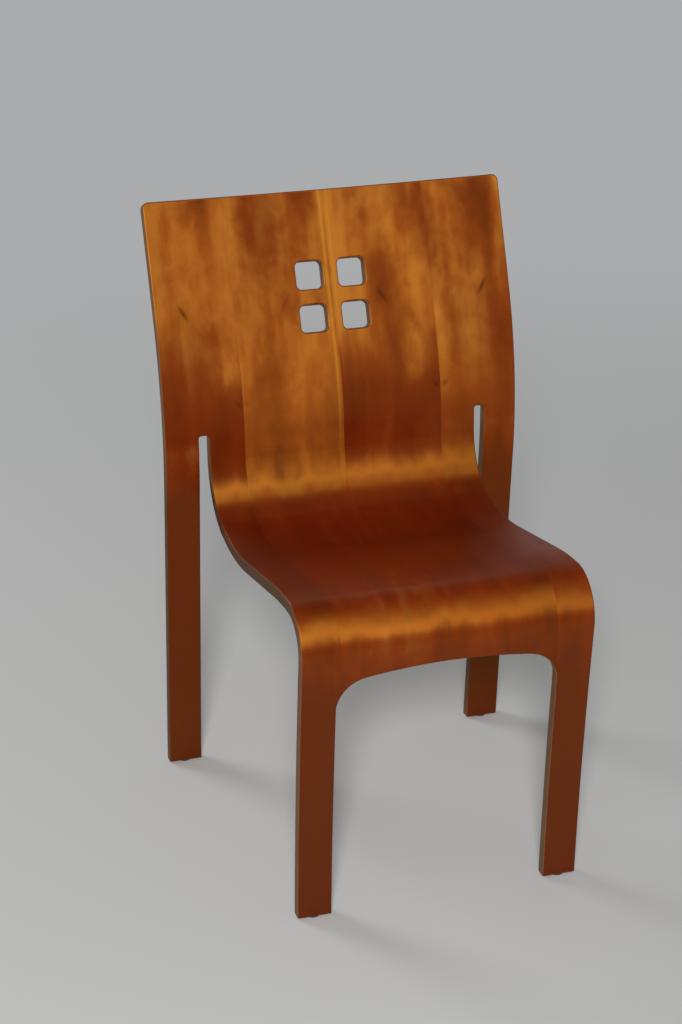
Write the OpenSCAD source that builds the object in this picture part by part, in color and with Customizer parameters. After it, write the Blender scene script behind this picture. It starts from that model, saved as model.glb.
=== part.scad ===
// One-piece moulded plywood side chair.
// A single blank of glued plies is bent so that its middle strip becomes the seat and the
// front legs, and its two outer strips carry on down from the back as the rear legs.
// Right is +X, the chair faces -Y, up is +Z. The origin is on the floor, in the middle of
// the chair's outline seen from above.

/* [Whole chair] */
// Height of the top edge of the back above the floor
chair_h = 872; // [800:1:940]
// Width across the back, which is also the width across the rear legs
chair_w = 535; // [480:1:600]

/* [Back] */
// Height of the slot line, where the bends of the seat strip and the rear legs part
slot_line_h = 543; // [525:1:565]
// Angle by which the sheet leans back at the slot line
slot_lean = 2.3; // [1:0.1:4]
// Angle by which the upper back leans back
back_lean = 21.3; // [14:0.1:26]
// Radius of the waist bend between the rear legs and the upper back
waist_r = 545; // [350:5:700]
// Depth to which the middle of the upper back is dished behind its side edges
dish_depth = 13.5; // [4:0.5:24]
// Length of sheet above the slot line over which the dish reaches its full depth
dish_run = 180; // [120:5:240]
// Radius of the two top corners
top_corner_r = 9; // [4:1:30]

/* [Slots and legs] */
// Width of the middle strip, which makes the seat and the front legs
seat_w = 405.5; // [360:0.5:430]
// Width of each slot between the middle strip and a rear leg
slot_w = 15; // [10:0.5:20]
// Length by which each slot runs on above the slot line
slot_over = 5; // [3:0.5:10]
// Radius of the two corners at the top of a slot
slot_corner_r = 4; // [2:0.5:4.5]
// Angle by which the rear legs slope back towards the floor
rear_splay = 5.4; // [2:0.1:9]
// Slope of the front legs just under the seat's front bend, back towards the floor
front_rake = 7; // [4:0.5:9]
// Radius of the long sweep of the front legs
front_sweep_r = 5200; // [4400:100:9000]
// Width of a front leg at the floor
foot_w = 48; // [36:1:60]
// Width that each front leg gains from the floor up to the height of the arch
leg_taper = 0.5; // [0:0.5:12]

/* [Seat] */
// Length of sheet between the slot line and the bend into the seat
seat_drop = 33.5; // [20:0.5:50]
// Radius of the bend from the back into the seat, on its upper face
seat_bend_r = 81; // [60:1:100]
// Angle of that bend
seat_bend_a = 74.2; // [66:0.1:80]
// Radius of the shallow dip at the rear of the seat
dip_r = 290; // [180:2:340]
// Angle by which the seat rises towards the front
seat_rise = 10.5; // [8:0.1:13]
// Length of the straight part of the seat
seat_run = 153; // [120:1:200]
// Radius of the crest towards the front of the seat
crest_r = 454; // [300:2:800]
// Angle of the crest
crest_a = 8.9; // [4:0.1:12]
// Radius of the front bend from the seat into the front legs, on its outer face
nose_r = 61; // [45:1:75]

/* [Arch between the front legs] */
// Height of the arch's crown above the floor
arch_h = 378; // [300:1:384]
// Radius of the arch's shallow crown
crown_r = 780; // [450:10:1500]
// Radius of the arch's two corners
arch_corner_r = 47; // [15:1:60]

/* [Holes in the back] */
// Side of each square hole
hole_w = 40.5; // [25:0.5:50]
// Distance between the middles of neighbouring holes
hole_pitch = 63.5; // [58:0.5:75]
// Radius of the holes' corners
hole_corner_r = 8; // [3:1:12]
// Length of sheet from the slot line to the middle of the group of holes
hole_rise = 191; // [165:1:200]

/* [Sheet] */
// Thickness of one core ply
core_t = 1.5; // [1.2:0.1:2]
// Thickness of one face veneer
face_t = 0.7; // [0.5:0.1:1]
// Width of one full leaf of face veneer
leaf_w = 150; // [130:5:180]

/* [Glides] */
// Diameter of a nail-on glide
glide_d = 18; // [14:0.5:19]
// Height of a glide, which lifts the feet off the floor
glide_h = 3; // [2:0.5:5]
// Radius of a glide's rounded lower edge
glide_edge_r = 1.5; // [0.5:0.25:1.75]
// Diameter of the nail's shank
nail_d = 1.8; // [1.2:0.1:2.4]
// Length of shank driven up into the foot
nail_len = 15; // [8:1:22]
// Diameter of the nail's head
nail_head_d = 7; // [5:0.5:9]
// Thickness of the nail's head
nail_head_t = 1; // [0.6:0.1:1.2]

/* [Hidden] */
core_plies = 11;
sheet_t = 2 * face_t + core_plies * core_t;
// Largest distance between a bend and the flats that stand for it
chord_gap = 0.35;
// Longest row of flats on the dished back
dish_row = 40;
// Flats round one corner of the arch, and along half of its crown
corner_flats = 8;
crown_flats = 3;
// What the pressed sheet is wider and longer than the chair before it is routed to size
trim = 3;
// A cutter's reach past what it cuts
past = 30;

// The side outline is walked along the sheet's upper or front face. A pose is [y, z, h],
// with h the heading in degrees: 0 is rearwards and 90 is up. A run is [length, turn].
function arc_run(r, a) = [r * abs(a) * PI / 180, a];
function step_pose(p, run) =
    let (len = run[0], a = run[1], h = p[2])
    abs(a) < 0.001
        ? [p[0] + len * cos(h), p[1] + len * sin(h), h]
        : let (r = len / (a * PI / 180))
          [p[0] + r * (sin(h + a) - sin(h)), p[1] - r * (cos(h + a) - cos(h)), h + a];

// Number of flats for one run: straight ones only where the dish needs them
function flats(run, row) =
    let (r = abs(run[1]) < 0.001 ? 0 : run[0] / (abs(run[1]) * PI / 180))
    max(ceil(run[0] / row), r == 0 ? 1 : ceil(abs(run[1]) / (2 * acos(1 - chord_gap / r))));

// Poses at the flats' ends along a list of runs, each with its distance from the start
function walk(p, runs, row, i = 0, s = 0) =
    i == len(runs)
        ? []
        : let (n = flats(runs[i], row))
          concat(
              [for (k = [1:n]) concat(step_pose(p, runs[i] * k / n), s + runs[i][0] * k / n)],
              walk(step_pose(p, runs[i]), runs, row, i + 1, s + runs[i][0])
          );

far = 1e6;
start_up = [0, slot_line_h, 90 - slot_lean];
start_down = [0, slot_line_h, -90 - slot_lean];

// Upper back: the rest of the waist bend, then straight to the top edge
waist_up = arc_run(waist_r, slot_lean - back_lean);
waist_top = step_pose(start_up, waist_up);
back_run = [(chair_h - waist_top[1]) / cos(back_lean), 0];
top_pose = step_pose(waist_top, back_run);
back_path = concat([concat(start_up, 0)], walk(start_up, [waist_up, back_run + [trim, 0]], dish_row));

// Rear leg: the lower part of the waist bend, then straight to the foot
waist_down = arc_run(waist_r, slot_lean + rear_splay);
waist_end = step_pose(start_down, waist_down);
rear_run = [(waist_end[1] - glide_h) / cos(rear_splay), 0];
rear_path = walk(start_down, [waist_down, rear_run], far);

// Seat strip: down from the slots, forwards as the seat, over the nose and down to the feet
dip_a = 90 + seat_rise - slot_lean - seat_bend_a;
nose_a = 90 + seat_rise - crest_a + front_rake;
seat_runs = [
    [seat_drop, 0],
    arc_run(seat_bend_r, -seat_bend_a),
    arc_run(dip_r, -dip_a),
    [seat_run, 0],
    arc_run(crest_r, crest_a),
    arc_run(nose_r, nose_a)
];
function last_pose(p, runs, i = 0) = i == len(runs) ? p : last_pose(step_pose(p, runs[i]), runs, i + 1);
nose_end = last_pose(start_down, seat_runs);
foot_rake = asin(sin(front_rake) - (nose_end[1] - glide_h) / front_sweep_r);
front_run = arc_run(front_sweep_r, foot_rake - front_rake);
seat_path = walk(start_down, concat(seat_runs, [front_run]), far);

// The point under a pose at a depth below the upper or front face. The heading runs up the
// back but down the legs, so side says on which hand the depth lies.
function under(p, d, side) = [p[0] + d * cos(p[2] + side), p[1] + d * sin(p[2] + side)];
// A foot is cut level with the floor, so its last point slides along the leg to that height.
function foot(p, d) = [p[0] + d / sin(-p[2]), p[1]];

// How far the middle of the back lies behind its side edges at a distance up the sheet
function dish(s, x) =
    let (t = min(1, s / dish_run))
    dish_depth * t * t * (3 - 2 * t) * (1 - pow(2 * x / chair_w, 2));

// The chair's outline from the side, which sets where the middle of its depth lies
front_foot = seat_path[len(seat_path) - 1];
rear_foot = rear_path[len(rear_path) - 1];
y_rear = max(under(top_pose, sheet_t + dish_depth, -90)[0], foot(rear_foot, sheet_t)[0]);
y_front = min([for (p = seat_path) p[0]]);
y_mid = (y_rear + y_front) / 2;

// Lines across the sheet: its edges, the slots' edges and those that shape the dish
half_w = chair_w / 2;
half_seat = seat_w / 2;
leg_in = half_seat + slot_w;
pressed_seat = half_seat + trim;
cols = concat(
    [-half_w - trim, -leg_in + trim, -pressed_seat],
    [for (k = [-2:2]) half_seat * k / 3],
    [pressed_seat, leg_in - trim, half_w + trim]
);

// One layer of the sheet, from depth d0 to depth d1 under its upper or front face. The rows
// of points run up the back, then down both rear legs, then down the seat strip.
nb = len(back_path);
nr = len(rear_path);
ns = len(seat_path);
nc = len(cols);
per_face = nb * nc + 4 * nr + 2 * ns;
function back_at(r, c) = r * nc + c;
function rear_at(leg, r, c) = r == 0 ? back_at(0, leg * (nc - 2) + c) : nb * nc + (leg * nr + r - 1) * 2 + c;
function seat_at(r, c) = r == 0 ? back_at(0, c == 0 ? 2 : nc - 3) : nb * nc + 4 * nr + (r - 1) * 2 + c;

function face_points(d) = concat(
    [for (p = back_path) for (x = cols)
        let (q = under(p, d + dish(p[3], x), -90)) [x, q[0] - y_mid, q[1]]],
    [for (leg = [0, 1]) for (r = [0:nr - 1]) for (c = [0, 1])
        let (p = rear_path[r], q = r == nr - 1 ? foot(p, d) : under(p, d, 90))
        [cols[leg * (nc - 2) + c], q[0] - y_mid, q[1]]],
    [for (r = [0:ns - 1]) for (c = [-1, 1])
        let (p = seat_path[r], q = r == ns - 1 ? foot(p, d) : under(p, d, 90))
        [c * pressed_seat, q[0] - y_mid, q[1]]]
);

// The flats of one face, each clockwise seen from in front or above
function quad(a, b, c, d) = [[a, b, c], [a, c, d]];
front_flats = concat(
    [for (r = [0:nb - 2]) for (c = [0:nc - 2])
        each quad(back_at(r, c), back_at(r + 1, c), back_at(r + 1, c + 1), back_at(r, c + 1))],
    [for (leg = [0, 1]) for (r = [0:nr - 1])
        each quad(rear_at(leg, r, 0), rear_at(leg, r, 1), rear_at(leg, r + 1, 1), rear_at(leg, r + 1, 0))],
    [for (c = [2:nc - 4]) [back_at(0, c), back_at(0, c + 1), seat_at(1, 0)]],
    [[seat_at(0, 1), seat_at(1, 1), seat_at(1, 0)]],
    [for (r = [1:ns - 1])
        each quad(seat_at(r, 0), seat_at(r, 1), seat_at(r + 1, 1), seat_at(r + 1, 0))]
);
// The rim as a loop of points, in the order in which the walls join the two faces
rim = concat(
    [for (r = [nr:-1:1]) rear_at(0, r, 0)],
    [for (r = [0:nb - 1]) back_at(r, 0)],
    [for (c = [1:nc - 1]) back_at(nb - 1, c)],
    [for (r = [nb - 2:-1:0]) back_at(r, nc - 1)],
    [for (r = [1:nr]) rear_at(1, r, 1)],
    [for (r = [nr:-1:0]) rear_at(1, r, 0)],
    [for (r = [0:ns]) seat_at(r, 1)],
    [for (r = [ns:-1:0]) seat_at(r, 0)],
    [for (r = [0:nr]) rear_at(0, r, 1)]
);

module bent_layer(d0, d1) {
    n = per_face;
    m = len(rim);
    polyhedron(
        points = concat(face_points(d0), face_points(d1)),
        faces = concat(
            front_flats,
            [for (f = front_flats) [f[0] + n, f[2] + n, f[1] + n]],
            [for (k = [0:m - 1])
                let (a = rim[k], b = rim[(k + 1) % m])
                each quad(a, a + n, b + n, b)]
        ),
        convexity = 8
    );
}

// Places what is drawn flat on the upper back's front face, s up the sheet from the slot
// line, and makes it a prism that reaches deep to the front and to the rear
module on_back(s, deep) {
    p = step_pose(waist_top, [s - waist_up[0], 0]);
    translate([0, p[0] - y_mid, p[1]])
        rotate([90 - back_lean, 0, 0])
            linear_extrude(2 * deep, center = true)
                children();
}

module rounded_square(w, r) {
    union() {
        square([w - 2 * r, w], center = true);
        square([w, w - 2 * r], center = true);
        for (x = [-1, 1], y = [-1, 1])
            translate([x, y] * (w / 2 - r)) circle(r, $fn = 32);
    }
}

// The outline that the pressed sheet is routed to: two straight sides and, at the top, an
// edge square to the sheet with round corners
module blank_outline() {
    r = top_corner_r;
    length = 2 * chair_h;
    union() {
        translate([-half_w, -length]) square([chair_w, length - r]);
        translate([r - half_w, -2 * r]) square([chair_w - 2 * r, 2 * r]);
        for (x = [-1, 1]) translate([x * (half_w - r), -r]) circle(r, $fn = 48);
    }
}

// One slot with its round corners, which also sets the edges of the strips beside it
module slot_shape() {
    r = slot_corner_r;
    top = slot_line_h + slot_over;
    translate([half_seat, 0])
        union() {
            translate([0, -past]) square([slot_w, top - r + past]);
            translate([r, top - 2 * r]) square([slot_w - 2 * r, 2 * r]);
            for (x = [r, slot_w - r]) translate([x, top - r]) circle(r, $fn = 32);
        }
}

// The open space between the front legs: a shallow crown with two round corners, each a
// circle that touches the crown's circle and the leg's sloping inner edge
module arch_shape() {
    foot_x = half_seat - foot_w;
    slope = atan(leg_taper / arch_h);
    crown_z = arch_h - crown_r;
    // The corner's middle lies at arch_corner_r from the leg's edge and at reach from the
    // crown's middle, so the way to it along the edge closes a right triangle
    reach = crown_r - arch_corner_r;
    side = foot_x * cos(slope) - arch_corner_r - crown_z * sin(slope);
    along = sqrt(reach * reach - side * side);
    mid = [side * cos(slope) - along * sin(slope), crown_z + side * sin(slope) + along * cos(slope)];
    turn = atan2(mid[1] - crown_z, mid[0]);
    right_half = concat(
        [[foot_x + past * tan(slope), -past]],
        [for (k = [0:corner_flats])
            let (a = slope + (turn - slope) * k / corner_flats) mid + arch_corner_r * [cos(a), sin(a)]],
        [for (k = [1:crown_flats])
            let (a = turn + (90 - turn) * k / crown_flats) [crown_r * cos(a), crown_z + crown_r * sin(a)]]
    );
    polygon(concat(right_half, [for (k = [len(right_half) - 2:-1:0]) [-right_half[k][0], right_half[k][1]]]));
}

// Everything that is routed out of the pressed sheet
module cut_outs() {
    for (x = [-1, 1], z = [-1, 1])
        on_back(hole_rise, sheet_t + dish_depth + past)
            translate([x, z] * hole_pitch / 2) rounded_square(hole_w, hole_corner_r);
    for (side = [0, 1])
        mirror([side, 0, 0])
            rotate([90, 0, 0]) linear_extrude(2 * chair_h, center = true) slot_shape();
    translate([0, y_front - past - y_mid, 0])
        rotate([90, 0, 180]) linear_extrude(foot(front_foot, sheet_t)[0] - y_front + 2 * past) arch_shape();
}

// One layer of the sheet as it lies in the finished chair
module layer(d0, d1) {
    difference() {
        intersection() {
            bent_layer(d0, d1);
            on_back(waist_up[0] + back_run[0], 2 * chair_h) blank_outline();
        }
        cut_outs();
    }
}

// Where the nail-on glides go: under the middle of the sheet at each foot
front_foot_y = foot(front_foot, sheet_t / 2)[0] - y_mid;
rear_foot_y = foot(rear_foot, sheet_t / 2)[0] - y_mid;
front_foot_x = half_seat - foot_w / 2;
rear_foot_x = (half_w + leg_in) / 2;
glide_places = [
    [-front_foot_x, front_foot_y], [front_foot_x, front_foot_y],
    [-rear_foot_x, rear_foot_y], [rear_foot_x, rear_foot_y]
];

// The nails at their own size, which is also what they press out of the plies
module nails() {
    for (p = glide_places) {
        translate([p[0], p[1], glide_h - nail_head_t]) cylinder(d = nail_head_d, h = nail_head_t, $fn = 48);
        translate([p[0], p[1], glide_h]) cylinder(d = nail_d, h = nail_len, $fn = 24);
    }
}

module core_ply(i) {
    d = face_t + (i - 1) * core_t;
    color(i % 2 == 1 ? "#8a6a44" : "#6b4a2c")
        difference() {
            layer(d, d + core_t);
            nails();
        }
}

// One leaf of a face veneer, the k-th from the left, at depth d
module leaf(k, d) {
    x0 = k == 0 ? -half_w - past : (k - 2) * leaf_w;
    x1 = k == 3 ? half_w + past : (k - 1) * leaf_w;
    intersection() {
        layer(d, d + face_t);
        translate([x0, -chair_h, -past]) cube([x1 - x0, 2 * chair_h, chair_h + 2 * past]);
    }
}

module face_leaf(k) { color("#9c5a22") leaf(k, 0); }
module back_leaf(k) { color("#8a4a1c") leaf(k, sheet_t - face_t); }

module glide(k) {
    p = glide_places[k];
    r = glide_d / 2;
    color("#3a2a20")
        translate([p[0], p[1], 0])
            rotate_extrude($fn = 64)
                polygon(concat(
                    [[0, 0]],
                    [for (a = [-90:15:0])
                        [r - glide_edge_r + glide_edge_r * cos(a), glide_edge_r + glide_edge_r * sin(a)]],
                    [[r, glide_h], [nail_head_d / 2, glide_h],
                     [nail_head_d / 2, glide_h - nail_head_t], [0, glide_h - nail_head_t]]
                ));
}

module glide_nails() { color("#9a9a98") nails(); }

face_leaf(0);  // face_leaf_left
face_leaf(1);  // face_leaf_mid_left
face_leaf(2);  // face_leaf_mid_right
face_leaf(3);  // face_leaf_right
core_ply(1);  // core_ply_01
core_ply(2);  // core_ply_02
core_ply(3);  // core_ply_03
core_ply(4);  // core_ply_04
core_ply(5);  // core_ply_05
core_ply(6);  // core_ply_06
core_ply(7);  // core_ply_07
core_ply(8);  // core_ply_08
core_ply(9);  // core_ply_09
core_ply(10);  // core_ply_10
core_ply(11);  // core_ply_11
back_leaf(0);  // back_leaf_left
back_leaf(1);  // back_leaf_mid_left
back_leaf(2);  // back_leaf_mid_right
back_leaf(3);  // back_leaf_right
glide(0);  // glide_front_left
glide(1);  // glide_front_right
glide(2);  // glide_rear_left
glide(3);  // glide_rear_right
glide_nails();
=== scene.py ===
import math

import bpy
import numpy as np
from mathutils import Matrix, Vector
from mathutils.geometry import delaunay_2d_cdt


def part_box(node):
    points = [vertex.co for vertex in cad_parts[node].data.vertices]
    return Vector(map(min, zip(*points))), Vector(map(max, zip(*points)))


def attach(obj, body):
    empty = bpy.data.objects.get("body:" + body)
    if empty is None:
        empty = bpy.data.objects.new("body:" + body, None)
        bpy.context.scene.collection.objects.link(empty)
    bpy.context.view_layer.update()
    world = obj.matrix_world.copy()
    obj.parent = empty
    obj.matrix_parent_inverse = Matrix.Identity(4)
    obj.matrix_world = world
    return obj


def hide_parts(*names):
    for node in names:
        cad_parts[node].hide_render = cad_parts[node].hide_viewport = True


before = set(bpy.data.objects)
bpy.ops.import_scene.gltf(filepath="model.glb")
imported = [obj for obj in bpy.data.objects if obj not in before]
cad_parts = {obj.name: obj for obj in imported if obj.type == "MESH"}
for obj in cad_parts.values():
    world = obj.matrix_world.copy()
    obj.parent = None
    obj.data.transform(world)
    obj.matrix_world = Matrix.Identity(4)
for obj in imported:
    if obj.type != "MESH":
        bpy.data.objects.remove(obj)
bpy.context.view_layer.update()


# Core plies
# Eleven plies of sliced wood, 1.5 mm each, glued face to face with the grain by turns along the sheet and
# across it. The press bends the whole stack over one mould. A router then cuts its outline, slots, arch and
# holes, and its two arrises are rounded over the face veneer and the first ply.
chair_h = 0.872
chair_w = 0.535
slot_line_h = 0.543
slot_lean = math.radians(2.3)
back_lean = math.radians(21.3)
waist_r = 0.545
dish_depth = 0.0135
dish_run = 0.180
top_corner_r = 0.009
seat_w = 0.4055
slot_w = 0.015
slot_over = 0.005
slot_corner_r = 0.004
rear_splay = math.radians(5.4)
front_rake = math.radians(7)
front_sweep_r = 5.200
foot_w = 0.048
leg_taper = 0.0005
seat_drop = 0.0335
seat_bend_r = 0.081
seat_bend_a = math.radians(74.2)
dip_r = 0.290
seat_rise = math.radians(10.5)
seat_run = 0.153
crest_r = 0.454
crest_a = math.radians(8.9)
nose_r = 0.061
arch_h = 0.378
crown_r = 0.780
arch_corner_r = 0.047
hole_w = 0.0405
hole_pitch = 0.0635
hole_corner_r = 0.008
hole_rise = 0.191
core_plies = 11
core_t = 0.0015
face_t = 0.0007
leaf_w = 0.150
glide_h = 0.003
sheet_t = 2 * face_t + core_plies * core_t
arris_r = face_t + core_t
half_w = chair_w / 2
half_seat = seat_w / 2
leg_in = half_seat + slot_w

glide_low, glide_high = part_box("glide_front_left")
glide_y = (glide_low[1] + glide_high[1]) / 2


def walk(start, runs, s):
    """Goes a distance s along a chain of runs, each (length, turn), from start = (y, z, heading). A run is
    an arc of radius length / turn, or straight where turn is 0. The chord of a piece d of it that turns by
    a is d sin(a / 2) / (a / 2) long and lies at the heading plus a / 2."""
    y, z, h = (np.full(np.shape(s), float(value)) for value in start)
    for length, turn in runs:
        d = np.clip(s, 0, length)
        a = turn * d / length
        chord = d * np.sinc(a / (2 * np.pi))
        y += chord * np.cos(h + a / 2)
        z += chord * np.sin(h + a / 2)
        h += a
        s = s - d
    return y, z, h


def arc_run(r, a):
    """A run of radius r that turns by a."""
    return (r * abs(a), a)


start_up = (0, slot_line_h, math.pi / 2 - slot_lean)
start_down = (0, slot_line_h, -math.pi / 2 - slot_lean)
waist_up = arc_run(waist_r, slot_lean - back_lean)
waist_top = walk(start_up, [waist_up], waist_up[0])
back_runs = [waist_up, ((chair_h - waist_top[1]) / math.cos(back_lean), 0)]
waist_down = arc_run(waist_r, slot_lean + rear_splay)
waist_end = walk(start_down, [waist_down], waist_down[0])
rear_runs = [waist_down, ((waist_end[1] - glide_h) / math.cos(rear_splay), 0)]
seat_runs = [
    (seat_drop, 0),
    arc_run(seat_bend_r, -seat_bend_a),
    arc_run(dip_r, -(math.pi / 2 + seat_rise - slot_lean - seat_bend_a)),
    (seat_run, 0),
    arc_run(crest_r, crest_a),
    arc_run(nose_r, math.pi / 2 + seat_rise - crest_a + front_rake),
]
nose_v = -sum(run[0] for run in seat_runs)
nose_end = walk(start_down, seat_runs, -nose_v)
foot_rake = math.asin(math.sin(front_rake) - (nose_end[1] - glide_h) / front_sweep_r)
seat_runs.append(arc_run(front_sweep_r, foot_rake - front_rake))
top_v = sum(run[0] for run in back_runs)
rear_v = -sum(run[0] for run in rear_runs)
front_v = -sum(run[0] for run in seat_runs)


def unit(vectors):
    """Vectors made one long, each divided by its own length."""
    return vectors / np.linalg.norm(vectors, axis=-1, keepdims=True)


def bent(x, v, d, y_mid=0.0):
    """Where a point of the flat blank lies on the bent sheet: x across, v along the sheet, up from the slot
    line or down where it is below zero, and d deep under the front face. The point is the side outline's at
    v, moved down its depth direction by d plus the dish, which is a smooth step up the back times a
    parabola across it. Returns the point, the front face's outward normal, and the directions in the face
    of growing x and v."""
    x, v, d = np.broadcast_arrays(x, v, d)
    y, z, u = walk(start_up, back_runs, np.maximum(v, 0))
    below = v < 0
    middle = below & (np.abs(x) < (half_seat + leg_in) / 2)
    for part, runs in ((middle, seat_runs), (below & ~middle, rear_runs)):
        py, pz, h = walk(start_down, runs, np.maximum(-v, 0))
        y = np.where(part, py, y)
        z = np.where(part, pz, z)
        u = np.where(part, h + np.pi, u)
    zero = np.zeros_like(u)
    across = np.stack([zero + 1, zero, zero], -1)
    along = np.stack([zero, np.cos(u), np.sin(u)], -1)
    deep = np.stack([zero, np.sin(u), -np.cos(u)], -1)
    t = np.clip(v / dish_run, 0, 1)
    rise = dish_depth * t * t * (3 - 2 * t)
    fall = 1 - (x / half_w) ** 2
    slope_x = (-2 * rise * x / half_w**2)[..., None]
    slope_v = (6 * dish_depth * t * (1 - t) / dish_run * fall)[..., None]
    point = np.stack([x, y - y_mid, z], -1) + (d + rise * fall)[..., None] * deep
    normal = slope_x * across + slope_v * along - deep
    return point, unit(normal), unit(across + slope_x * deep), unit(along + slope_v * deep)


def to_floor(point, along):
    """Slides points along the leg until they are at the height of the foot's level cut."""
    return point + along * ((glide_h - point[..., 2:]) / along[..., 2:])


foot, _, _, foot_along = bent(0.0, front_v, sheet_t / 2)
y_mid = to_floor(foot, foot_along)[1] - glide_y

# How far apart the sheet's rows and columns of points lie, and how far it may turn between two rows.
row_gap = 0.022
back_row_gap = 0.012
row_turn = math.radians(5)
seat_row_turn = math.radians(2.5)
col_reach = 0.250
col_count = 21
leaf_joints = [-leaf_w, 0.0, leaf_w]
# A row only cuts a line where its distances to the line's two ends multiply to more than this.
end_clear = 1e-6


def spaced(runs, sign, gap, turn):
    """Places along the sheet at which its rows of points lie, no further apart than a gap and with no more
    than a given turn between them: each run is cut into equal steps that keep to both."""
    ends = np.cumsum([0] + [run[0] for run in runs])
    steps = [max(math.ceil(run[0] / gap), math.ceil(abs(run[1]) / turn)) for run in runs]
    rows = [np.linspace(a, b, n + 1)[1:] for a, b, n in zip(ends[:-1], ends[1:], steps)]
    return sign * np.concatenate([[0.0]] + rows)


back_rows = spaced(back_runs, 1, back_row_gap, row_turn)
rear_rows = spaced(rear_runs, -1, row_gap, row_turn)
seat_rows = spaced(seat_runs, -1, row_gap, seat_row_turn)
cols = np.linspace(-col_reach, col_reach, col_count)


def line(p, q, rows):
    """The straight line from p to q, with a point at each row or column that it crosses. Its end q is left
    to what follows."""
    p = np.array(p)
    q = np.array(q)
    k = 1 if abs(q[1] - p[1]) > abs(q[0] - p[0]) else 0
    cuts = rows[(rows - p[k]) * (rows - q[k]) < -end_clear]
    t = np.sort(np.concatenate([[0.0], (cuts - p[k]) / (q[k] - p[k])]))
    return p + t[:, None] * (q - p)


# How many points draw each round corner and the arch's crown, and how many heights are read off its leg.
top_corner_points = 8
slot_corner_points = 6
hole_corner_points = 9
arch_corner_points = 16
crown_points = 24
leg_points = 200


def arc(x, v, r, a0, a1, n):
    """n points of an arc round (x, v) from angle a0 to just short of a1, in radians."""
    a = np.linspace(a0, a1, n, endpoint=False)
    return np.stack([x + r * np.cos(a), v + r * np.sin(a)], -1)


def arch_side():
    """The right half of the arch as (x, v): up the front leg's inner edge, round the corner that touches it
    and the crown, and along the crown. The corner's middle lies its radius in from the edge, and the two
    radii's difference from the crown's middle. All is drawn as (x, z), seen from the front, and v is read
    off the leg at that z."""
    inner_x = half_seat - foot_w
    slope = math.atan(leg_taper / arch_h)
    crown_z = arch_h - crown_r
    side = inner_x * math.cos(slope) - arch_corner_r - crown_z * math.sin(slope)
    up = math.sqrt((crown_r - arch_corner_r) ** 2 - side**2)
    x = side * math.cos(slope) - up * math.sin(slope)
    z = crown_z + side * math.sin(slope) + up * math.cos(slope)
    turn = math.atan2(z - crown_z, x)
    leg_v = np.linspace(front_v, nose_v, leg_points)
    leg_z = bent(0.0, leg_v, 0.0)[0][:, 2]
    corner = arc(x, z, arch_corner_r, slope, turn, arch_corner_points)
    crown = arc(0, crown_z, crown_r, turn, math.pi / 2, crown_points)
    curve = np.concatenate([corner, crown, [[0, arch_h]]])
    curve[:, 1] = np.interp(curve[:, 1], leg_z, leg_v)
    return np.concatenate([line([inner_x, front_v], curve[0], seat_rows), curve])


def outline():
    """The blank's outer edge: clockwise from the middle of the top edge to the arch's crown, and back up the
    other side as its mirror image."""
    top_r = top_corner_r
    slot_r = slot_corner_r
    slot_top = slot_over - slot_r
    quarter = math.pi / 2
    top_corner = arc(half_w - top_r, top_v - top_r, top_r, quarter, 0, top_corner_points)
    outer_corner = arc(leg_in - slot_r, slot_top, slot_r, 0, quarter, slot_corner_points)
    inner_corner = arc(half_seat + slot_r, slot_top, slot_r, quarter, math.pi, slot_corner_points)
    right = np.concatenate([
        line([0, top_v], [half_w - top_r, top_v], cols),
        top_corner,
        line([half_w, top_v - top_r], [half_w, 0], back_rows),
        line([half_w, 0], [half_w, rear_v], rear_rows),
        line([half_w, rear_v], [leg_in, rear_v], cols),
        line([leg_in, rear_v], [leg_in, slot_top], rear_rows),
        outer_corner,
        inner_corner,
        [[half_seat, slot_top]],
        line([half_seat, 0], [half_seat, front_v], seat_rows),
        line([half_seat, front_v], [half_seat - foot_w, front_v], cols),
        arch_side(),
    ])
    return np.concatenate([right, (right * [-1, 1])[-2:0:-1]])


def hole(x, v):
    """One square hole with round corners: a quarter arc round each corner of a smaller square."""
    m = hole_w / 2 - hole_corner_r
    quarter = math.pi / 2
    middles = [(m, m), (-m, m), (-m, -m), (m, -m)]
    corners = [
        arc(x + cx, v + cv, hole_corner_r, k * quarter, (k + 1) * quarter, hole_corner_points)
        for k, (cx, cv) in enumerate(middles)
    ]
    return np.concatenate(corners)


# How far past the arris the inner points keep from an edge, how far the veneer joints run out over the
# edges, and how near two points are one. The triangulation is asked to fill the points' whole hull.
rim_clear = 0.003
joint_overrun = 0.010
same_point = 1e-7
whole_hull = 0


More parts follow.
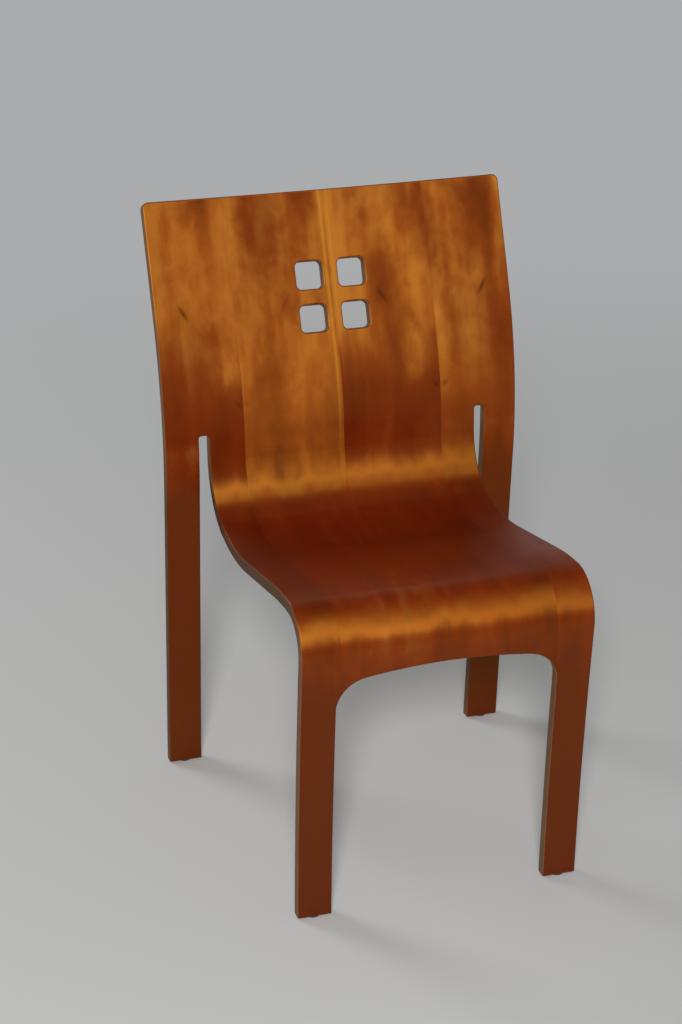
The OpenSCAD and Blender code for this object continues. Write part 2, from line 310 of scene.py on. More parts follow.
def blank():
    """The flat blank cut into triangles. Rows and columns of points, kept clear of the edges by more than
    the arris, are joined with the outline, the holes and the veneer joints by a Delaunay triangulation, and
    what lies in a hole or outside is dropped. Returns the points (x, v), the triangles, and each triangle's
    leaf, 0 to 3 from the left."""
    h = hole_pitch / 2
    loops = [outline()] + [hole(x, hole_rise + v) for x in (-h, h) for v in (-h, h)]
    edge = np.concatenate(loops)
    off_middle = np.abs(cols)
    parts = [
        (back_rows, off_middle < half_w),
        (rear_rows, off_middle > leg_in),
        (seat_rows, off_middle < half_seat),
    ]
    grids = [np.stack(np.meshgrid(cols[keep], rows), -1).reshape(-1, 2) for rows, keep in parts]
    grid = np.concatenate(grids)
    gap = np.min(np.linalg.norm(grid[:, None] - edge[None], axis=2), axis=1)
    grid = grid[gap > arris_r + rim_clear]
    joint_ends = (front_v - joint_overrun, top_v + joint_overrun)
    ends = np.array([[x, v] for x in leaf_joints for v in joint_ends])
    points = np.concatenate([edge, grid, ends])
    first = np.cumsum([0] + [len(loop) for loop in loops])
    faces = [list(range(a, b)) for a, b in zip(first[:-1], first[1:])]
    faces[0].reverse()
    joints = [(k, k + 1) for k in range(len(points) - len(ends), len(points), 2)]
    flat = [tuple(p) for p in points]
    points, _, triangles, _, _, owners = delaunay_2d_cdt(flat, joints, faces, whole_hull, same_point)
    points = np.array(points)
    triangles = np.array(triangles)[[owner == [0] for owner in owners]]
    a, b, c = (points[triangles[:, k]] for k in range(3))
    turned = (b - a)[:, 0] * (c - a)[:, 1] - (b - a)[:, 1] * (c - a)[:, 0] < 0
    triangles[turned] = triangles[turned][:, ::-1]
    return points, triangles, np.digitize((a + b + c)[:, 0] / 3, leaf_joints)


def edges_of(triangles):
    """The edges that only one of the triangles has, each with the wood on its left."""
    pairs = np.concatenate([triangles[:, [0, 1]], triangles[:, [1, 2]], triangles[:, [2, 0]]])
    n = triangles.max() + 1
    return pairs[~np.isin(pairs[:, 0] * n + pairs[:, 1], pairs[:, 1] * n + pairs[:, 0])]


def outward(points, pairs):
    """Each edge's outward direction in the flat blank: its step turned a quarter clockwise, one long."""
    step = points[pairs[:, 1]] - points[pairs[:, 0]]
    return unit(np.stack([step[:, 1], -step[:, 0]], -1))


blank_points, blank_triangles, blank_leaf = blank()
rim = edges_of(blank_triangles)
rim_out = outward(blank_points, rim)
blank_x, blank_v = blank_points.T
is_foot = np.isclose(blank_v, front_v)
is_foot |= np.isclose(blank_v, rear_v) & (np.abs(blank_x) > half_seat + slot_w / 2)
across_foot = is_foot[rim[:, 0]] & is_foot[rim[:, 1]]
# An arris at a point lies along the mean of the outward directions of the edges that meet there.
arris = np.zeros_like(blank_points)
for end in (0, 1):
    np.add.at(arris, rim[~across_foot, end], rim_out[~across_foot])
arris_len = np.linalg.norm(arris, axis=1, keepdims=True)
arris = np.divide(arris, arris_len, out=np.zeros_like(arris), where=arris_len > 0)

# How many rings draw a layer's share of an arris, and how near two depths are one.
arris_rings = 5
touching = 1e-9


def rings(d0, d1):
    """The steps down a layer's edge, each (depth, how far set in, how far turned from the face). Within the
    arris's radius r of a face, an edge turned by a is r(1 - cos a) deep and r(1 - sin a) set in."""
    if d1 <= arris_r + touching:
        a = np.linspace(math.acos(1 - d0 / arris_r), math.acos(max(1 - d1 / arris_r, 0)), arris_rings)
        return [(arris_r * (1 - math.cos(t)), arris_r * (1 - math.sin(t)), t) for t in a]
    if d0 >= sheet_t - arris_r - touching:
        mirrored = rings(max(sheet_t - d1, 0), sheet_t - d0)
        return [(sheet_t - depth, inset, math.pi - t) for depth, inset, t in reversed(mirrored)]
    return [(d0, 0.0, math.pi / 2), (d1, 0.0, math.pi / 2)]


def place(ids, depth, inset):
    """The bent place of points of the blank at a depth, with those at the edge set in."""
    flat = blank_points[ids] - inset * arris[ids]
    point, normal, across, along = bent(flat[:, 0], flat[:, 1], depth, y_mid)
    point = np.where(is_foot[ids][:, None], to_floor(point, along), point)
    return flat, point, normal, across, along


def point_values(mesh, name, values):
    """Gives a mesh a named number at each of its points."""
    mesh.attributes.new(name, "FLOAT", "POINT").data.foreach_set("value", values)


# An edge runs on smoothly into an arris that points this much the same way, as the cosine between them.
smooth_cosine = 0.75


def layer(name, triangles, d0, d1):
    """One layer of the sheet between two depths as a closed mesh: a front and a back face and, between
    their edges, walls that step down the rings. Its UV map is (x, v) in metres, and its point values are
    the depth, in metres, and the bevel, the sine of the wall's turn from the face."""
    steps = rings(d0, d1)
    ids, flat_tri = np.unique(triangles, return_inverse=True)
    flat_tri = flat_tri.reshape(-1, 3)
    walls = edges_of(flat_tri)
    walls_out = outward(blank_points[ids], walls)
    wall_ids = np.unique(walls)
    n = len(ids)
    order = np.zeros(n, int)
    order[wall_ids] = np.arange(len(wall_ids))
    placed_steps = [steps[0], steps[-1]] + steps[1:-1]
    placed_ids = [ids, ids] + [ids[wall_ids]] * (len(steps) - 2)
    placed = [place(some, *step[:2]) for some, step in zip(placed_ids, placed_steps)]
    counts = [len(some) for some in placed_ids]
    depth = np.repeat([step[0] for step in placed_steps], counts)
    bevel = np.repeat([math.sin(step[2]) for step in placed_steps], counts)
    flat, points, normals, across, along = (np.concatenate([p[k] for p in placed]) for k in range(5))
    inner_rings = [2 * n + k * len(wall_ids) + order for k in range(len(steps) - 2)]
    ring_at = [np.arange(n)] + inner_rings + [n + np.arange(n)]
    faces = [flat_tri, flat_tri[:, ::-1] + n]
    loops = [normals[faces[0]], -normals[faces[1]]]
    smooth = arris[ids]
    foot_wall = is_foot[ids][walls[:, 0]] & is_foot[ids][walls[:, 1]]

    def wall_normal(k, end):
        """The wall's normal at one end of each edge on ring k: the arris's where the edge runs on smoothly,
        or else the edge's own, and level down on a foot."""
        at = ring_at[k][walls[:, end]]
        turn = steps[k][2]
        alike = np.sum(smooth[walls[:, end]] * walls_out, axis=1, keepdims=True) > smooth_cosine
        out = np.where(alike, smooth[walls[:, end]], walls_out)
        side = out[:, :1] * across[at] + out[:, 1:] * along[at]
        rolled = math.cos(turn) * normals[at] + math.sin(turn) * side
        return np.where(foot_wall[:, None], [0.0, 0.0, -1.0], np.where(alike, rolled, side))

    for k in range(len(steps) - 1):
        a0, b0, a1, b1 = (ring_at[j][walls[:, end]] for j in (k, k + 1) for end in (0, 1))
        na0, nb0, na1, nb1 = (wall_normal(j, end) for j in (k, k + 1) for end in (0, 1))
        faces += [np.stack([b0, a0, a1], -1), np.stack([b0, a1, b1], -1)]
        loops += [np.stack([nb0, na0, na1], 1), np.stack([nb0, na1, nb1], 1)]
    faces = np.concatenate(faces)
    loops = np.concatenate(loops).reshape(-1, 3)
    mesh = bpy.data.meshes.new(name)
    mesh.from_pydata(points, [], faces)
    mesh.polygons.foreach_set("use_smooth", np.ones(len(faces), bool))
    mesh.uv_layers.new(name="sheet").uv.foreach_set("vector", flat[faces.ravel()].ravel())
    point_values(mesh, "depth", depth)
    point_values(mesh, "bevel", bevel)
    mesh.normals_split_custom_set(loops)
    piece = bpy.data.objects.new(name, mesh)
    bpy.context.collection.objects.link(piece)
    return piece, flat


def add(owner, kind, sockets=(), **settings):
    """Adds a node to a material or a world, with its settings, and sets or links its sockets from pairs of
    socket and value."""
    node = owner.node_tree.nodes.new(kind)
    for key, value in settings.items():
        setattr(node, key, value)
    for key, value in dict(sockets).items():
        if isinstance(value, bpy.types.NodeSocket):
            owner.node_tree.links.new(value, node.inputs[key])
        else:
            node.inputs[key].default_value = value
    return node


def math_node(owner, operation, a, b=0.0):
    """One Math node's value."""
    return add(owner, "ShaderNodeMath", {0: a, 1: b}, operation=operation).outputs[0]


def multiply_add(owner, a, b, c):
    """a times b plus c."""
    return add(owner, "ShaderNodeMath", {0: a, 1: b, 2: c}, operation="MULTIPLY_ADD").outputs[0]


def vector_node(owner, operation, a, b=(0, 0, 0)):
    """One Vector Math node's value, which is a number for a length or a dot product."""
    node = add(owner, "ShaderNodeVectorMath", {0: a, 1: b}, operation=operation)
    return node.outputs["Value" if operation in ("LENGTH", "DOT_PRODUCT") else "Vector"]


def between(owner, value, start, end, at_start=0.0, at_end=1.0, step="LINEAR"):
    """Moves from one number to another as a value goes from start to end, and holds them beyond."""
    sockets = {"Value": value, "From Min": start, "From Max": end, "To Min": at_start, "To Max": at_end}
    return add(owner, "ShaderNodeMapRange", sockets, interpolation_type=step).outputs[0]


def stretched_noise(material, place, scale, detail, rough=0.5):
    """Noise on a place whose axes are each multiplied by their own scale, in features to the metre."""
    scaled = vector_node(material, "MULTIPLY", place, scale)
    noise = {"Vector": scaled, "Scale": 1.0, "Detail": detail, "Roughness": rough}
    return add(material, "ShaderNodeTexNoise", noise).outputs["Fac"]


def ramp(material, value, stops):
    """A colour ramp with stops of (position, colour)."""
    node = add(material, "ShaderNodeValToRGB", {0: value})
    elements = node.color_ramp.elements
    while len(elements) < len(stops):
        elements.new(0.5)
    for element, (position, colour) in zip(elements, stops):
        element.position = position
        element.color = (*colour, 1)
    return node.outputs["Color"]


def point_value(material, name, output="Fac"):
    """What the mesh holds at each point under a name, read as a number or as another output of the node."""
    return add(material, "ShaderNodeAttribute", attribute_name=name).outputs[output]


def sheet_place(material):
    """The place of a point of the sheet, (x, v, depth) in metres, and its v alone."""
    uv = add(material, "ShaderNodeUVMap", uv_map="sheet").outputs[0]
    flat = add(material, "ShaderNodeSeparateXYZ", {0: uv}).outputs
    sockets = {"X": flat["X"], "Y": flat["Y"], "Z": point_value(material, "depth")}
    return add(material, "ShaderNodeCombineXYZ", sockets).outputs[0], flat["Y"]


def new_material(name):
    """A material with an empty node tree."""
    material = bpy.data.materials.new(name)
    material.use_nodes = True
    material.node_tree.nodes.clear()
    return material


def finished(material, sockets):
    """Ends a material in the shader that every finish on the chair uses, with its sockets set or linked."""
    shader = add(material, "ShaderNodeBsdfPrincipled", sockets)
    add(material, "ShaderNodeOutputMaterial", {0: shader.outputs[0]})
    return material


# The fibres' and the patches' features to the metre across the sheet, along it and through it.
grain_along = (900, 30, 1500)
grain_across = (30, 900, 1500)
patch_grain = (25, 25, 400)
along_light = (0.26, 0.13, 0.055)
along_dark = (0.13, 0.060, 0.024)
across_light = (0.15, 0.070, 0.030)
across_dark = (0.070, 0.030, 0.012)
# The darkest edge colour is painted shade, reached only round the seat's middle.
painted_shade_edge = (0.060, 0.024, 0.0060)
# The ply edges are darkened by painted shade round the seat's middle, which lies here along the sheet: fully
# up to the first distance from it, and not at all past the second.
seat_middle = -0.28
painted_shade_full = 0.20
painted_shade_end = 0.28
painted_shade_tone = -0.28
fibre_part = 0.7
patch_part = 0.3
edge_rough = 0.50
fibre_rough = 0.15
edge_specular = 0.15


def ply_material(name, grain, light, dark):
    """A lacquered ply edge. Its tone is a weighed sum of fibres, seen as fine streaks along the grain and as
    specks across it, and of broader patches, and painted shade round the seat's middle darkens it."""
    material = new_material(name)
    at, along = sheet_place(material)
    fibre = stretched_noise(material, at, grain, detail=4, rough=0.6)
    patch = stretched_noise(material, at, patch_grain, detail=2)
    off_seat = math_node(material, "ABSOLUTE", math_node(material, "ADD", along, -seat_middle))
    # Painted shade: the edge tone drops round the seat's middle.
    painted_shade = between(material, off_seat, painted_shade_full, painted_shade_end, painted_shade_tone, 0.0)
    tone = multiply_add(material, fibre, fibre_part, painted_shade)
    tone = multiply_add(material, patch, patch_part, tone)
    bump = add(material, "ShaderNodeBump", {"Height": fibre, "Strength": 0.25, "Distance": 0.0002})
    return finished(material, {
        "Base Color": ramp(material, tone, [(0.1, painted_shade_edge), (0.3, dark), (0.7, light)]),
        "Roughness": multiply_add(material, fibre, fibre_rough, edge_rough),
        "Normal": bump.outputs[0],
        "Specular IOR Level": edge_specular,
    })


ply_along = ply_material("ply_grain_along", grain_along, along_light, along_dark)
ply_across = ply_material("ply_grain_across", grain_across, across_light, across_dark)
for i in range(1, core_plies + 1):
    d = face_t + (i - 1) * core_t
    node = f"core_ply_{i:02d}"
    piece, _ = layer(f"ply_{i:02d}", blank_triangles, d, d + core_t)
    piece.data.materials.append(ply_along if i % 2 else ply_across)
    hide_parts(node)
    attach(piece, "root")


# Face veneers
# Cherry leaves sliced 0.7 mm thick and 150 mm wide, glued on both faces, stained red-brown and lacquered.
# They come one after another off one log and are laid book-matched on each side of the middle joint, so the
# gum marks repeat. Each runs in one piece from the top edge over the seat to the feet.
leaf_names = ("left", "mid_left", "mid_right", "right")
# The order in which the slices came off the log, and how far apart two of them read its figure.
slice_order = {"mid_left": 0, "mid_right": 1, "left": 2, "right": 3}
slice_step = 0.02
# How many degrees the fibres dive out of the face, by place along the sheet from the feet to the top edge.
# A dive tilts their gloss upwards. It is the mean of seven readings within 5 mm, and the nose adds its own.
dive_at = [
    -1.10, -0.575, -0.56, -0.543, -0.53, -0.515, -0.49, -0.20, -0.12, -0.11, -0.10, -0.092, -0.085, -0.075,
    -0.066, -0.058, -0.045, -0.033, 0.0, 0.05, 0.08, 0.12, 0.17, 0.25, 0.35,
]
seat_dive = [0, -0.4, 4, -4.8, -13.2, -21.5, -6.2, 0.2, -8, -17, -17.4, -16.2]
fibre_dive = {
    "left": seat_dive + [-11.2, -9.6, -7.0, -7.1, -8.1, -8.1, -4.9, -3, -2.4, -2, -2.3, -3.4, -3.8],
    "mid_left": seat_dive + [-11.0, -9.2, -4.7, 0.2, 7.5, 15.4, 14.5, 7.4, 3.4, 0.3, -3.9, -4.8, -5.2],
    "mid_right": seat_dive + [-11.1, -8.9, -5.2, -1.7, -2.4, -3, -4.6, -4, -2.9, -3.3, -2.7, -3, -6.9],
    "right": seat_dive + [-9.8, -7.2, -2.6, 0.9, 6.4, 12.7, 12.1, 7.3, 2.7, -2.3, -5.3, -5.5, -3],
}
dive_blur = np.linspace(-0.005, 0.005, 7)
nose_at = [-0.58, -0.56, -0.53, -0.51]
nose_dive = {"left": -1.4, "mid_left": -0.4, "mid_right": -1.6, "right": 1.9}
rear_dive_at = [-0.18, -0.06, 0.0]
rear_dive = {"left": [0, -3, -5], "mid_left": [0, 0, 0], "mid_right": [0, 0, 0], "right": [0, 15, 12]}
# How much paler or darker than its middle tone the wood is, and how strongly its figure shows, by place
# along the sheet. Mostly this is the stain as the wood took it, but the darkening of the legs towards the
# floor is partly painted shade. The legs are darkest and plainest.
stain_at = [-0.65, -0.60, -0.50, -0.45, -0.17, -0.13, -0.09, 0.05, 0.14, 0.35]
stain_and_leg_shade = {
    "left": [-0.28, -0.11, -0.09, -0.17, -0.17, -0.10, -0.13, -0.09, 0.04, 0.10],
    "mid_left": [-0.24, -0.05, -0.03, -0.07, -0.05, -0.04, -0.15, -0.01, 0.05, 0.10],
    "mid_right": [-0.24, -0.13, -0.10, -0.11, -0.09, -0.09, -0.06, -0.09, 0.04, 0.10],
    "right": [-0.20, -0.06, -0.01, -0.04, -0.07, -0.09, -0.13, -0.02, 0.04, 0.06],
}
rear_stain_at = [-0.12, -0.02]
leg_stain_and_shade = -0.27
figure_at = [-0.75, -0.62, -0.56, -0.50, -0.44, -0.12, -0.09, -0.06, 0.0, 0.06, 0.12]
figure = [0.30, 0.60, 0.90, 0.75, 0.60, 0.50, 0.80, 0.75, 0.50, 0.60, 0.95]
rear_figure = 0.35
stain_dark = (0.064, 0.0026, 0.0004)
stain = (0.084, 0.0046, 0.0006)
stain_mid = (0.150, 0.0120, 0.0014)
stain_light = (0.185, 0.040, 0.0060)
stain_pale = (0.250, 0.076, 0.0120)
gum_dark = (0.032, 0.0040, 0.0012)
sap_light = (0.310, 0.110, 0.0120)
stain_stops = [(0.25, stain_dark), (0.50, stain), (0.66, stain_mid), (0.76, stain_light), (1.0, stain_pale)]
gloss_gold = (1.0, 0.39, 0.040)
# The lacquer is duller over dark wood than over light, and duller still over gum and on the rolled arris.
dark_at = 0.25
light_at = 0.75
rough_dark = 0.50
rough_light = 0.38
gum_rough = 0.4
arris_rough = 0.2
lacquer = 0.06
lacquer_rough = 0.32
# The figure's parts, by their features to the metre across the sheet, along it and from slice to slice. The
# plumes' curl is the share of finer detail in them.
warp_grain = (9, 5, 15)
pore_grain = (1500, 25, 15)
streak_grain = (45, 2.5, 15)
plume_grain = (24, 4.5, 15)
ripple_grain = (60, 38, 15)
plume_curl = 0.42
# How far the warp moves the plumes, the ripples and the flames, in metres across and along the sheet.
warp_reach = (0.024, 0.11, 0)
# How much paler each part of the figure makes the wood, round the tone of plain wood. A flame is partly even
# and partly as strong as the streaks in it.
plain_tone = 0.62
pore_tone = 0.08
streak_tone = 0.25
plume_tone = 0.60
ripple_tone = 0.20
flame_tone = -0.12
flame_even = 0.3
flame_streak = 1.4
# How far each tilts the gloss, as a slope.
streak_tilt = 0.08
plume_tilt = 0.24
ripple_tilt = 0.10
flame_tilt = -0.14
gum_tilt = -0.20
# Flames in the back and the seat, darker above 0 strength and paler below it. Here and in the next lists
# each is (across, along the sheet, half width, half length, strength), with sizes in metres.
flames = [
    (-0.100, 0.330, 0.050, 0.170, 1.0),
    (-0.185, 0.350, 0.045, 0.080, 0.8),
    (-0.030, 0.350, 0.035, 0.070, 0.8),
    (-0.190, 0.120, 0.045, 0.100, 0.4),
    (-0.110, 0.090, 0.045, 0.110, 0.35),
    (0.080, 0.200, 0.028, 0.120, 0.8),
    (0.145, 0.290, 0.030, 0.130, 0.8),
    (0.235, 0.320, 0.055, 0.130, 0.9),
    (-0.172, 0.095, 0.034, 0.070, -1.0),
    (0.112, 0.080, 0.034, 0.075, -0.9),
    (-0.036, -0.350, 0.036, 0.270, -0.7),
    (0.014, -0.280, 0.022, 0.200, -0.25),
    (0.120, -0.300, 0.036, 0.240, 0.45),
]
# Short slanted gum marks and knots, which the slices repeat and the first slice has weakest, and the pale
# sapwood on each side of the middle joint.
gum_slant = 0.5
gum_first = 0.35
gum_marks = [
    (0.074, 0.184, 0.0055, 0.017, 0.75),
    (0.143, 0.046, 0.008, 0.009, 0.5),
    (0.033, 0.060, 0.0025, 0.010, 0.6),
]
sapwood = [(-0.0055, 0.22, 0.0040, 0.36, 1.0), (0.0050, 0.25, 0.0035, 0.22, 0.6)]


def soft_spots(material, at, spots, slant=0.0):
    """Ellipses that each fade from their strength at the middle to 0 at the edge, added up. A slant moves
    them sideways by that share of the way down."""
    total = 0.0
    for x, v, half_x, half_v, strength in spots:
        moved = vector_node(material, "SUBTRACT", at, (x, v, 0))
        side = vector_node(material, "DOT_PRODUCT", moved, (1 / half_x, slant / half_x, 0))
        rise = vector_node(material, "DOT_PRODUCT", moved, (0, 1 / half_v, 0))
        both = add(material, "ShaderNodeCombineXYZ", {"X": side, "Y": rise}).outputs[0]
        length = vector_node(material, "LENGTH", both)
        spot = between(material, length, 1.0, 0.0, at_end=strength, step="SMOOTHSTEP")
        total = math_node(material, "ADD", total, spot)
    return total


def mix(material, factor, a, b):
    """Two colours mixed by a factor."""
    return add(material, "ShaderNodeMix", {"Factor": factor, 6: a, 7: b}, data_type="RGBA").outputs[2]


def weighed(material, total, parts):
    """A total plus each part times its weight."""
    for part, weight in parts:
        total = multiply_add(material, part, weight, total)
    return total


def veneer_material(name):
    """Stained cherry under a satin lacquer. The diffuse colour is the stain's, with painted shade on the
    legs, and the golden gloss comes off the fibres, so it is wide across them, narrow along them, and tilted
    where they dive out of the face. Each noise runs from 0 to 1, so half of the noises' weights comes off
    their sum, which keeps its middle at 0."""
    material = new_material(name)
    at = point_value(material, "slice", "Vector")
    sheet_at, _ = sheet_place(material)
    figured = point_value(material, "figure")
    warp = {"Vector": vector_node(material, "MULTIPLY", at, warp_grain), "Scale": 1.0, "Detail": 3.0}
    warp = add(material, "ShaderNodeTexNoise", warp).outputs["Color"]
    warp = vector_node(material, "SUBTRACT", warp, (0.5, 0.5, 0.5))
    warp = vector_node(material, "MULTIPLY", warp, warp_reach)
    curly = vector_node(material, "ADD", at, warp)
    pores = stretched_noise(material, at, pore_grain, detail=2)
    streak = stretched_noise(material, at, streak_grain, detail=2)
    plume = stretched_noise(material, curly, plume_grain, detail=3, rough=plume_curl)
    ripple = stretched_noise(material, curly, ripple_grain, detail=2)
    flame = soft_spots(material, vector_node(material, "ADD", sheet_at, warp), flames)
    flame = math_node(material, "MULTIPLY", flame, multiply_add(material, streak, flame_streak, flame_even))
    sap = soft_spots(material, sheet_at, sapwood)
    gum = soft_spots(material, at, gum_marks, gum_slant)
    later = vector_node(material, "DOT_PRODUCT", at, (0, 0, 1))
    gum = math_node(material, "MULTIPLY", gum, between(material, later, 0.0, slice_step, gum_first))
    middle = -(streak_tone + plume_tone + ripple_tone) / 2
    vary = weighed(material, middle, [(streak, streak_tone), (plume, plume_tone), (ripple, ripple_tone)])
    tone = multiply_add(material, vary, figured, multiply_add(material, pores, pore_tone, plain_tone))
    # The stain shifts the tone, and on the legs it also darkens it as painted shade.
    tone = math_node(material, "ADD", tone, point_value(material, "stain"))
    tone = multiply_add(material, flame, flame_tone, tone)
    colour = mix(material, sap, ramp(material, tone, stain_stops), (*sap_light, 1))
    colour = mix(material, gum, colour, (*gum_dark, 1))
    rough = between(material, tone, dark_at, light_at, rough_dark, rough_light)
    rough = weighed(material, rough, [(point_value(material, "bevel"), arris_rough), (gum, gum_rough)])
    middle = -(ripple_tilt + plume_tilt + streak_tilt) / 2
    tilts = [(ripple, ripple_tilt), (plume, plume_tilt), (streak, streak_tilt), (gum, gum_tilt)]
    dive = multiply_add(material, flame, flame_tilt, point_value(material, "dive"))
    tilt = multiply_add(material, weighed(material, middle, tilts), figured, dive)
    tangent = add(material, "ShaderNodeTangent", direction_type="UV_MAP", uv_map="sheet").outputs[0]
    normal = add(material, "ShaderNodeNewGeometry").outputs["Normal"]
    fibre = vector_node(material, "CROSS_PRODUCT", normal, tangent)
    lean = add(material, "ShaderNodeVectorMath", {0: fibre, "Scale": tilt}, operation="SCALE").outputs[0]
    tilted = vector_node(material, "NORMALIZE", vector_node(material, "ADD", normal, lean))
    bump = {"Height": pores, "Strength": 0.15, "Distance": 0.0002, "Normal": tilted}
    return finished(material, {
        "Base Color": colour,
        "Roughness": rough,
        "Normal": add(material, "ShaderNodeBump", bump).outputs[0],
        "Tangent": tangent,
        "Anisotropic": 0.8,
        "IOR": 1.6,
        "Specular IOR Level": 1.0,
        "Specular Tint": (*gloss_gold, 1),
        "Coat Weight": lacquer,
        "Coat Roughness": lacquer_rough,
    })


cherry = veneer_material("stained_cherry")
for side, d in (("face", 0.0), ("back", sheet_t - face_t)):
    for k, part in enumerate(leaf_names):
        node = f"{side}_leaf_{part}"
        piece, flat = layer(f"{side}_veneer_{part}", blank_triangles[blank_leaf == k], d, d + face_t)
        x, v = flat.T
        rear_leg = (np.abs(x) > half_seat) & (v < 0)
        # The leaves are book-matched, so the figure mirrors at every joint.
        log_x = 2 * leaf_w - np.abs(x) if part in ("left", "right") else np.abs(x)
        cut = np.stack([log_x, v, np.full(len(v), slice_step * slice_order[part])], -1)
        piece.data.attributes.new("slice", "FLOAT_VECTOR", "POINT").data.foreach_set("vector", cut.ravel())
        # The stain's tone along the sheet, which on the legs is partly painted shade.
        front = np.interp(v, stain_at, stain_and_leg_shade[part])
        rear = np.interp(v, rear_stain_at, [leg_stain_and_shade, 0])
        point_values(piece.data, "stain", np.where(rear_leg, rear, front))
        front = np.interp(v, figure_at, figure)
        rear = np.interp(v, rear_stain_at, [rear_figure, 1])
        point_values(piece.data, "figure", np.where(rear_leg, rear, front))
        front = np.interp(v[:, None] + dive_blur, dive_at, fibre_dive[part]).mean(axis=1)
        front += nose_dive[part] * np.interp(v, nose_at, [0, 1, 1, 0])
        rear = np.interp(v, rear_dive_at, rear_dive[part])
        point_values(piece.data, "dive", np.radians(np.where(rear_leg, rear, front)))
        piece.data.materials.append(cherry)
        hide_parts(node)
        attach(piece, "root")


# Glides
# Four round nail-on glides of dark moulded plastic under the feet, 18 mm across and 3 mm high. Sliding on
# floors has scuffed them paler.
glide_base = (0.022, 0.020, 0.018)
glide_worn = (0.090, 0.084, 0.076)
glide_scuffs = (900, 140, 300)
glide_grain = (2500, 2500, 2500)
glide_rough = 0.30
glide_worn_rough = 0.35
plastic = new_material("dark_plastic")
at = add(plastic, "ShaderNodeTexCoord").outputs["Object"]
scuff = stretched_noise(plastic, at, glide_scuffs, detail=4, rough=0.6)
grain = stretched_noise(plastic, at, glide_grain, detail=2)
bump = add(plastic, "ShaderNodeBump", {"Height": grain, "Strength": 0.3, "Distance": 0.0001})
finished(plastic, {
    "Base Color": ramp(plastic, scuff, [(0.45, glide_base), (0.75, glide_worn)]),
    "Roughness": multiply_add(plastic, scuff, glide_worn_rough, glide_rough),
    "Normal": bump.outputs[0],
})
for corner in ("front_left", "front_right", "rear_left", "rear_right"):
    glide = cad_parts[f"glide_{corner}"]
    glide.data.materials.clear()
    glide.data.materials.append(plastic)


# Glide nails
# Four round wire nails, zinc plated, with their heads moulded into the glides. They are driven up into the
# feet's end grain and hold the glides there.
zinc_bright = (0.62, 0.63, 0.65)
zinc_dull = (0.40, 0.41, 0.43)
zinc_bloom = (700, 700, 350)
drawn_marks = (4000, 4000, 200)
zinc_rough = 0.22
bloom_rough = 0.30
zinc = new_material("zinc_plate")
at = add(zinc, "ShaderNodeTexCoord").outputs["Object"]
bloom = stretched_noise(zinc, at, zinc_bloom, detail=3, rough=0.6)
drawn = stretched_noise(zinc, at, drawn_marks, detail=2)
bump = add(zinc, "ShaderNodeBump", {"Height": drawn, "Strength": 0.2, "Distance": 0.0001})
finished(zinc, {
    "Base Color": ramp(zinc, bloom, [(0.35, zinc_dull), (0.65, zinc_bright)]),
    "Roughness": multiply_add(zinc, bloom, bloom_rough, zinc_rough),
    "Metallic": 1.0,
    "Normal": bump.outputs[0],
})
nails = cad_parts["glide_nails"]
nails.data.materials.clear()
nails.data.materials.append(zinc)


# Floor
# A plain pale matt floor that carries the chair's shadow. Further off, seen straight or mirrored, it fades
# to the even grey of the surround.
floor_r = 14.0
floor_pale = (0.60, 0.60, 0.59)
floor_rough = 0.8
backdrop_grey = (0.405, 0.41, 0.415)
fade_middle = (0, -0.4, 0)
fade_from = 0.8
fade_to = 3.5
floor = bpy.data.objects.new("floor", bpy.data.meshes.new("floor"))
corners = [(x * floor_r, y * floor_r, 0) for x, y in ((-1, -1), (1, -1), (1, 1), (-1, 1))]
floor.data.from_pydata(corners, [], [(0, 1, 2, 3)])
bpy.context.collection.objects.link(floor)


def seen(owner):
    """1 for the rays that show a background: the camera's, mirrored ones and those through glass."""
    path = add(owner, "ShaderNodeLightPath")
    total = path.outputs["Is Camera Ray"]
    for ray in ("Is Glossy Ray", "Is Transmission Ray"):
        total = math_node(owner, "MAXIMUM", total, path.outputs[ray])
    return total


pale = new_material("pale_floor")
spot = add(pale, "ShaderNodeTexCoord").outputs["Object"]
away = vector_node(pale, "LENGTH", vector_node(pale, "SUBTRACT", spot, fade_middle))
far = math_node(pale, "MULTIPLY", between(pale, away, fade_from, fade_to, step="SMOOTHSTEP"), seen(pale))
lit = add(pale, "ShaderNodeBsdfPrincipled", {"Base Color": (*floor_pale, 1), "Roughness": floor_rough})
even = add(pale, "ShaderNodeEmission", {"Color": (*backdrop_grey, 1), "Strength": 1.0})
blend = add(pale, "ShaderNodeMixShader", {0: far, 1: lit.outputs[0], 2: even.outputs[0]})
add(pale, "ShaderNodeOutputMaterial", {0: blend.outputs[0]})
floor.data.materials.append(pale)


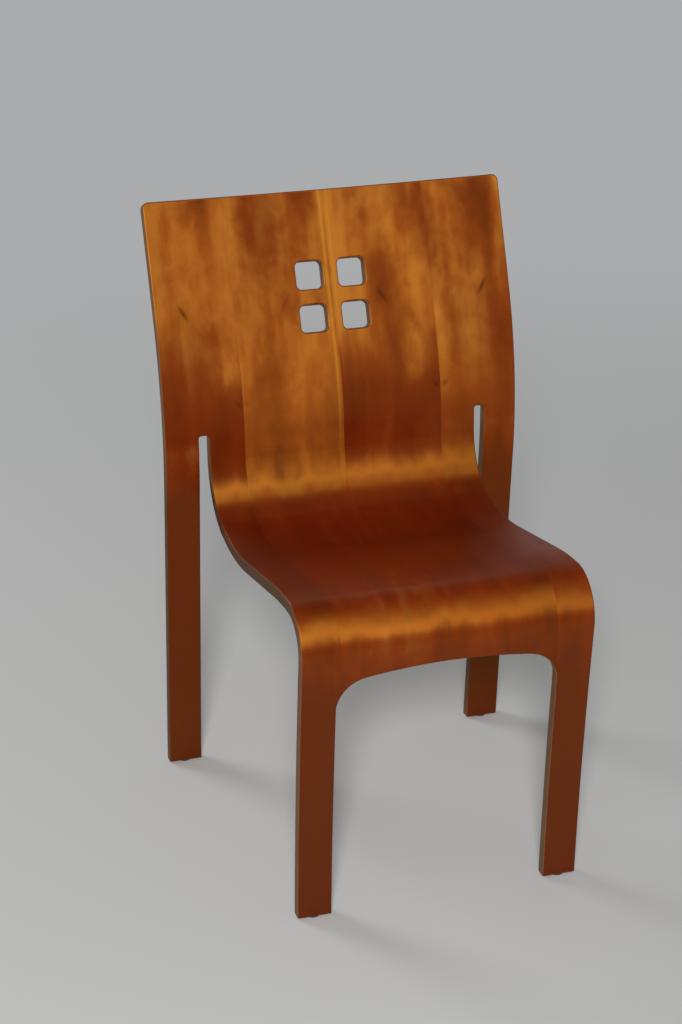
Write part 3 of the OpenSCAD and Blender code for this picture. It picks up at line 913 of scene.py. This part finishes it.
# Light
# A soft lamp near the camera's left, where the photograph's light came from, a weaker broad one behind the
# chair's left, and a dim even surround, which shows as the floor's grey near the horizon.
surround_grey = (0.21, 0.215, 0.22)
grey_above = 0.5
grey_below = 0.25
world = bpy.data.worlds.new("surround")
world.use_nodes = True
world.node_tree.nodes.clear()
direction = add(world, "ShaderNodeTexCoord").outputs["Generated"]
height = add(world, "ShaderNodeSeparateXYZ", {0: direction}).outputs["Z"]
shown = math_node(world, "MULTIPLY", between(world, height, grey_above, grey_below), seen(world))
dim = add(world, "ShaderNodeBackground", {"Color": (*surround_grey, 1)})
grey = add(world, "ShaderNodeBackground", {"Color": (*backdrop_grey, 1)})
both = add(world, "ShaderNodeMixShader", {0: shown, 1: dim.outputs[0], 2: grey.outputs[0]})
add(world, "ShaderNodeOutputWorld", {0: both.outputs[0]})
bpy.context.scene.world = world


def stand(thing, at, right, back):
    """Stands a lamp or a camera at a point, by the directions of its right side and of its back."""
    basis = np.eye(4)
    basis[:3, 0] = right
    basis[:3, 1] = np.cross(back, right)
    basis[:3, 2] = back
    basis[:3, 3] = at
    thing.matrix_world = Matrix(basis.tolist())
    bpy.context.collection.objects.link(thing)


def lamp(name, at, aim, size, power):
    """A round area lamp at one point, aimed at another."""
    data = bpy.data.lights.new(name, "AREA")
    data.shape = "DISK"
    data.size = size
    data.energy = power
    back = unit(np.array(at, float) - np.array(aim, float))
    right = unit(np.cross([0, 0, 1], back))
    stand(bpy.data.objects.new(name, data), at, right, back)


lamp("key", at=(-1.66, -4.72, 3.03), aim=(0, -0.17, 0.45), size=1.0, power=262)
lamp("rear", at=(-2.60, 2.90, 2.40), aim=(0, 0, 0.45), size=2.0, power=56)


# Camera
# It stands where the photograph was taken from and leans as that camera did. Its length of lens was
# measured in pixels of the photograph and is given for a 36 mm long side.
camera_at = (-0.9217, -2.7926, 1.7035)
camera_yaw = math.radians(17.185)
camera_pitch = math.radians(22.725)
camera_roll = math.radians(0.222)
lens_px = 2268.1
long_side_px = 1024
long_side_mm = 36
forward = np.array([
    math.sin(camera_yaw) * math.cos(camera_pitch),
    math.cos(camera_yaw) * math.cos(camera_pitch),
    -math.sin(camera_pitch),
])
level = np.array([math.cos(camera_yaw), -math.sin(camera_yaw), 0.0])
down = np.cross(forward, level)
camera_data = bpy.data.cameras.new("camera")
camera_data.sensor_width = long_side_mm
camera_data.lens = lens_px * long_side_mm / long_side_px
camera = bpy.data.objects.new("camera", camera_data)
stand(camera, camera_at, math.cos(camera_roll) * level + math.sin(camera_roll) * down, -forward)
bpy.context.scene.camera = camera
bpy.context.scene.view_settings.view_transform = "Standard"
